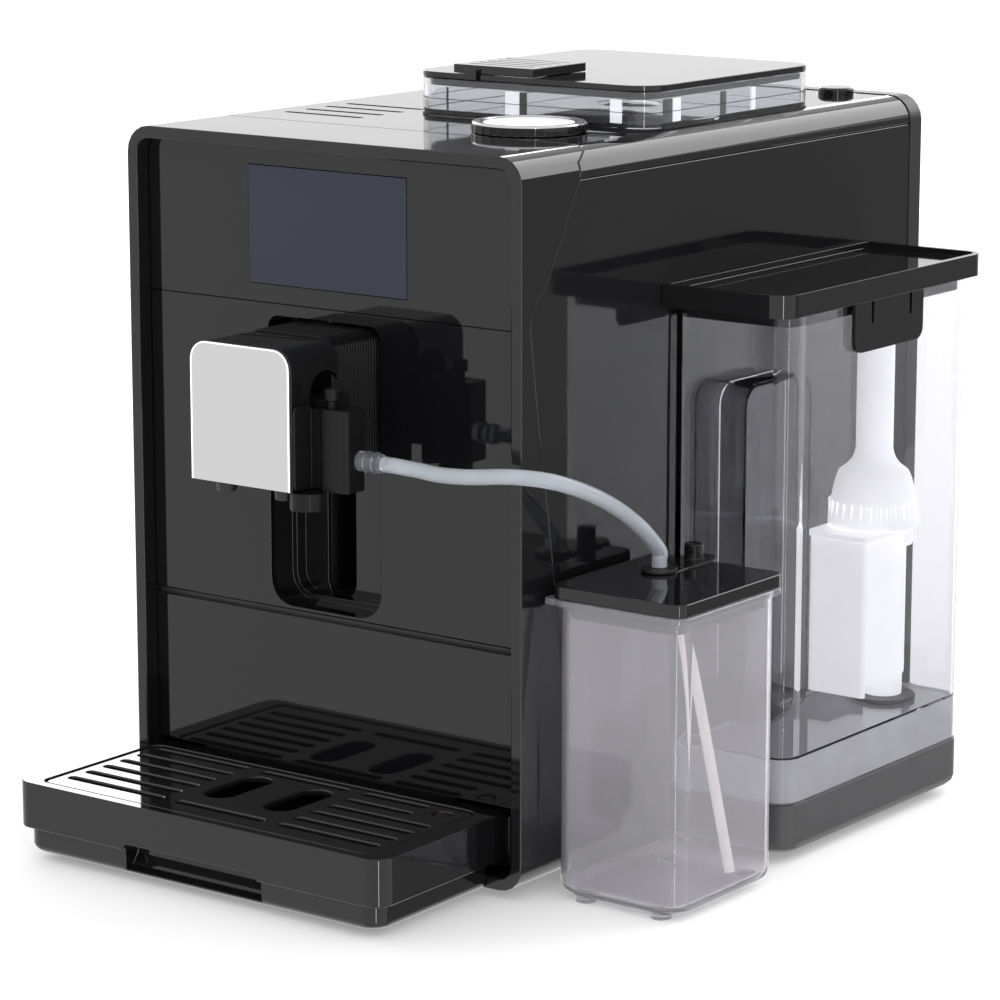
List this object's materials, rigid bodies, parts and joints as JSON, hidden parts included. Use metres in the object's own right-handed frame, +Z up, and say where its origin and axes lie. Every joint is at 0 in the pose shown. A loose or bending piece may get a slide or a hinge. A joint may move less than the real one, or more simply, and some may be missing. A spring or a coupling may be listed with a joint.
{
  "type": "bean to cup coffee machine",
  "caption": "Free-standing bean to cup coffee machine with a sliding spout, drip tray, bean hopper, water tank and milk jug joined by a hose.",
  "frame": {"origin": "on the ground under the middle of the machine's overall width and depth", "axes": "+Z up, -Y to the machine's front, +X to its right, where the water tank and the milk jug stand"},
  "size_m": [0.316, 0.4356, 0.3709],
  "materials": {
    "aluminium": "cast",
    "beige": "matt",
    "board": "lacquered",
    "brass": "plain",
    "chrome": "polished",
    "clear": "clear",
    "gloss_black": "high gloss",
    "grey": "matt",
    "hose_blue": "milky translucent",
    "matte_black": "matt",
    "panel_black": "satin gloss",
    "red": "matt",
    "rubber": "matt",
    "screen": "glossy dark screen",
    "smoke": "smoky clear",
    "steel": "brushed",
    "white": "matt"
  },
  "bodies": {
    "machine": {"base_plate": "matte_black", "brew_group": "matte_black", "chassis": "grey", "control_board": "board", "display": "screen", "display_panel": "panel_black", "foot_front_left": "rubber", "foot_front_right": "rubber", "foot_rear_left": "rubber", "foot_rear_right": "rubber", "front_frame": "gloss_black", "grinder_body": "grey", "grinder_motor": "steel", "heater": "aluminium", "hopper_body": "smoke", "left_side_panel": "gloss_black", "middle_panel": "panel_black", "milk_hose": "hose_blue", "power_inlet": "matte_black", "pump": "brass", "rear_panel": "matte_black", "rear_screw_1": "steel", "rear_screw_2": "steel", "rear_screw_3": "steel", "rear_screw_4": "steel", "right_side_panel": "gloss_black", "tank_shelf": "grey", "top_cover": "gloss_black"},
    "spout": {"spout_body": "matte_black", "spout_cover": "gloss_black", "spout_plate": "chrome", "coffee_nozzle_left": "matte_black", "coffee_nozzle_right": "matte_black", "milk_adapter": "gloss_black", "milk_outlet": "matte_black", "hose_sleeve": "hose_blue"},
    "pin": {"frother_pin": "matte_black"},
    "tray": {"drip_tray": "gloss_black", "lower_panel": "panel_black", "grounds_bin": "matte_black"},
    "grille": {"drip_grille": "gloss_black"},
    "float": {"float": "red"},
    "tank": {"water_tank": "clear", "tank_valve": "matte_black", "filter_body": "white", "filter_cap": "white"},
    "tank_lid": {"tank_lid": "gloss_black"},
    "jug": {"milk_jug": "clear", "jug_lid": "gloss_black", "jug_fitting": "matte_black", "suction_tube": "beige"},
    "hopper_lid": {"hopper_lid": "gloss_black"},
    "flap": {"lid_flap": "gloss_black"},
    "knob": {"grind_knob": "chrome"},
    "button": {"rear_button": "gloss_black"},
    "door": {"service_door": "gloss_black"},
    "rocker": {"power_switch": "matte_black"},
    "burr": {"lower_burr": "steel"}
  },
  "joints": [
    {"name": "spout_slide", "type": "slide", "parent": "machine", "child": "spout", "axis": [0, 0, -1], "range_m": [0, 0.066], "deforming": ["milk_hose"]},
    {"name": "pin_turn", "type": "hinge", "parent": "spout", "child": "pin", "pos_m": [0.00149, -0.1709, 0.23], "axis": [0, 0, 1], "range_deg": [0, 90]},
    {"name": "tray_slide", "type": "slide", "parent": "machine", "child": "tray", "axis": [0, -1, 0], "range_m": [0, 0.2]},
    {"name": "grille_lift", "type": "slide", "parent": "tray", "child": "grille", "axis": [0, 0, 1], "range_m": [0, 0.06]},
    {"name": "float_rise", "type": "slide", "parent": "tray", "child": "float", "axis": [0, 0, 1], "range_m": [0, 0.006]},
    {"name": "tank_lift", "type": "slide", "parent": "machine", "child": "tank", "axis": [0, 0, 1], "range_m": [0, 0.1]},
    {"name": "tank_lid_lift", "type": "slide", "parent": "tank", "child": "tank_lid", "axis": [0, 0, 1], "range_m": [0, 0.05]},
    {"name": "jug_slide", "type": "slide", "parent": "machine", "child": "jug", "axis": [1, 0, 0], "range_m": [0, 0.1]},
    {"name": "hopper_lid_lift", "type": "slide", "parent": "machine", "child": "hopper_lid", "axis": [0, 0, 1], "range_m": [0, 0.05]},
    {"name": "flap_swing", "type": "hinge", "parent": "hopper_lid", "child": "flap", "pos_m": [-0.02585, 0.0319, 0.3709], "axis": [-1, 0, 0], "range_deg": [0, 100]},
    {"name": "knob_turn", "type": "hinge", "parent": "machine", "child": "knob", "pos_m": [0.0184, -0.0433, 0.345], "axis": [0, 0, 1], "range_deg": [-135, 135]},
    {"name": "button_press", "type": "slide", "parent": "machine", "child": "button", "axis": [0, 0, -1], "range_m": [0, 0.0015], "stiffness_N_per_m": 400},
    {"name": "door_swing", "type": "hinge", "parent": "machine", "child": "door", "pos_m": [-0.1561, 0.0684, 0.1775], "axis": [0, 0, -1], "range_deg": [0, 100]},
    {"name": "switch_rock", "type": "hinge", "parent": "machine", "child": "rocker", "pos_m": [-0.0766, 0.2137, 0.04], "axis": [-1, 0, 0], "range_deg": [0, 13]},
    {"name": "burr_spin", "type": "hinge", "parent": "machine", "child": "burr", "pos_m": [-0.0011, 0.0717, 0.2902], "axis": [0, 0, 1], "continuous": true}
  ]
}
